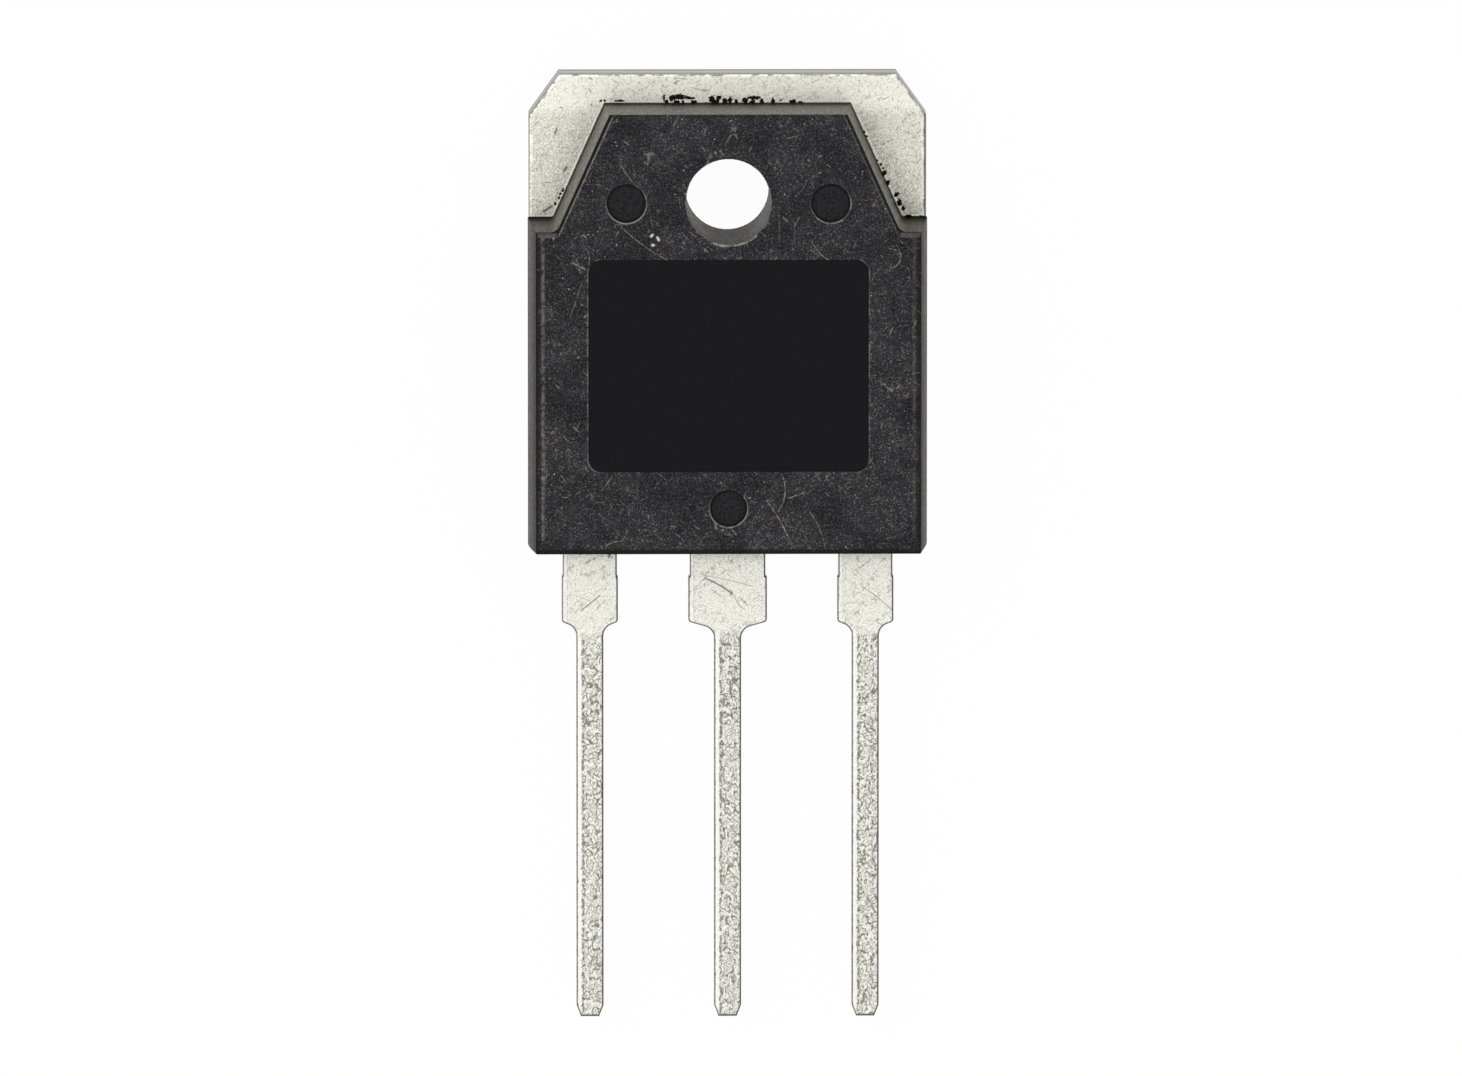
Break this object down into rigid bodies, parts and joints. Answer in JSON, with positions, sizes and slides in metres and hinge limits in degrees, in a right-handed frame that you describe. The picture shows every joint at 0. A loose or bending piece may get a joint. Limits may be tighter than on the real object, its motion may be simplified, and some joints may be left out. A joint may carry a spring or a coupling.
{
  "type": "power transistor",
  "caption": "Flat moulded power transistor with a bare metal mounting tab at one end, a lined screw hole and stepped leads in a row at the other.",
  "frame": {"origin": "where the axis of the screw hole meets the back plane of the metal plate", "axes": "+Z out of the marked face along the screw hole, +Y towards the tab end, leads along -Y, base lead at -X and emitter lead at +X"},
  "size_m": [0.0158, 0.0375, 0.0048],
  "materials": {
    "moulding_compound": "matte",
    "tinned_copper": "satin",
    "silicon": "gloss",
    "solder": "satin",
    "aluminium_wire": "satin"
  },
  "bodies": {
    "root": {"moulded_body": "moulding_compound", "collector_frame": "tinned_copper", "base_lead": "tinned_copper", "emitter_lead": "tinned_copper", "silicon_die": "silicon", "die_solder": "solder", "emitter_wire_1": "aluminium_wire", "emitter_wire_2": "aluminium_wire", "base_wire": "aluminium_wire"}
  },
  "joints": []
}
